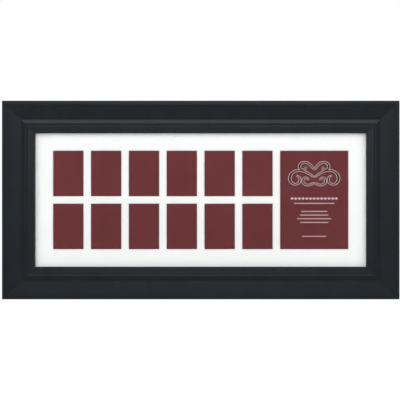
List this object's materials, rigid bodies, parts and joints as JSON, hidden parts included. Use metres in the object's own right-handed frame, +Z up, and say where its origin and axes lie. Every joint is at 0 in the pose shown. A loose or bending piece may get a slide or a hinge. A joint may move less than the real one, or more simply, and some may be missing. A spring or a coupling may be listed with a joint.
{
  "type": "collage photo frame",
  "caption": "Wide wall picture frame with a mitred cove and bead moulding, a white mat with rows of small windows beside a large one, turn buttons behind and D ring hangers.",
  "frame": {"origin": "underside of the bottom rail, midway along its length and through its depth", "axes": "+X along the width, to the right of someone facing the pictures; +Z up; the picture side faces -Y"},
  "size_m": [0.66, 0.0262, 0.3298],
  "materials": {
    "black_moulding": "satin black paint on the face and outer side, bare wood behind",
    "clear_sheet": "clear and smooth",
    "white_mat": "matt, with a white bevel",
    "maroon_paper": "matt printed paper",
    "hardboard": "smooth pressed hardboard",
    "zinc_steel": "bright zinc plating",
    "nail_steel": "plain steel",
    "soft_bumper": "matt"
  },
  "bodies": {
    "frame": {"bottom_rail": "black_moulding", "top_rail": "black_moulding", "left_rail": "black_moulding", "right_rail": "black_moulding", "corner_v_nails": "nail_steel", "clear_facing": "clear_sheet", "window_mat": "white_mat", "insert_sheet": "maroon_paper", "back_board": "hardboard", "turn_button_screws": "zinc_steel", "left_hanger_strap": "zinc_steel", "right_hanger_strap": "zinc_steel", "hanger_screws": "zinc_steel", "wall_bumpers": "soft_bumper"},
    "top_left_turn_button": {"top_left_turn_button": "zinc_steel"},
    "top_right_turn_button": {"top_right_turn_button": "zinc_steel"},
    "bottom_left_turn_button": {"bottom_left_turn_button": "zinc_steel"},
    "bottom_right_turn_button": {"bottom_right_turn_button": "zinc_steel"},
    "left_turn_button": {"left_turn_button": "zinc_steel"},
    "right_turn_button": {"right_turn_button": "zinc_steel"},
    "left_hanger_ring": {"left_hanger_ring": "zinc_steel"},
    "right_hanger_ring": {"right_hanger_ring": "zinc_steel"}
  },
  "joints": [
    {"name": "top_left_turn_button_pivot", "type": "hinge", "parent": "frame", "child": "top_left_turn_button", "pos_m": [-0.15131, 0.01175, 0.289], "axis": [0, 1, 0], "continuous": true},
    {"name": "top_right_turn_button_pivot", "type": "hinge", "parent": "frame", "child": "top_right_turn_button", "pos_m": [0.15131, 0.01175, 0.289], "axis": [0, 1, 0], "continuous": true},
    {"name": "bottom_left_turn_button_pivot", "type": "hinge", "parent": "frame", "child": "bottom_left_turn_button", "pos_m": [-0.15131, 0.01175, 0.0408], "axis": [0, 1, 0], "continuous": true},
    {"name": "bottom_right_turn_button_pivot", "type": "hinge", "parent": "frame", "child": "bottom_right_turn_button", "pos_m": [0.15131, 0.01175, 0.0408], "axis": [0, 1, 0], "continuous": true},
    {"name": "left_turn_button_pivot", "type": "hinge", "parent": "frame", "child": "left_turn_button", "pos_m": [-0.2892, 0.01175, 0.1649], "axis": [0, 1, 0], "continuous": true},
    {"name": "right_turn_button_pivot", "type": "hinge", "parent": "frame", "child": "right_turn_button", "pos_m": [0.2892, 0.01175, 0.1649], "axis": [0, 1, 0], "continuous": true},
    {"name": "left_hanger_ring_swing", "type": "hinge", "parent": "frame", "child": "left_hanger_ring", "pos_m": [-0.2972, 0.01306, 0.22756], "axis": [0, 0, 1], "range_deg": [-2, 182]},
    {"name": "right_hanger_ring_swing", "type": "hinge", "parent": "frame", "child": "right_hanger_ring", "pos_m": [0.2972, 0.01306, 0.22756], "axis": [0, 0, -1], "range_deg": [-2, 182]}
  ]
}
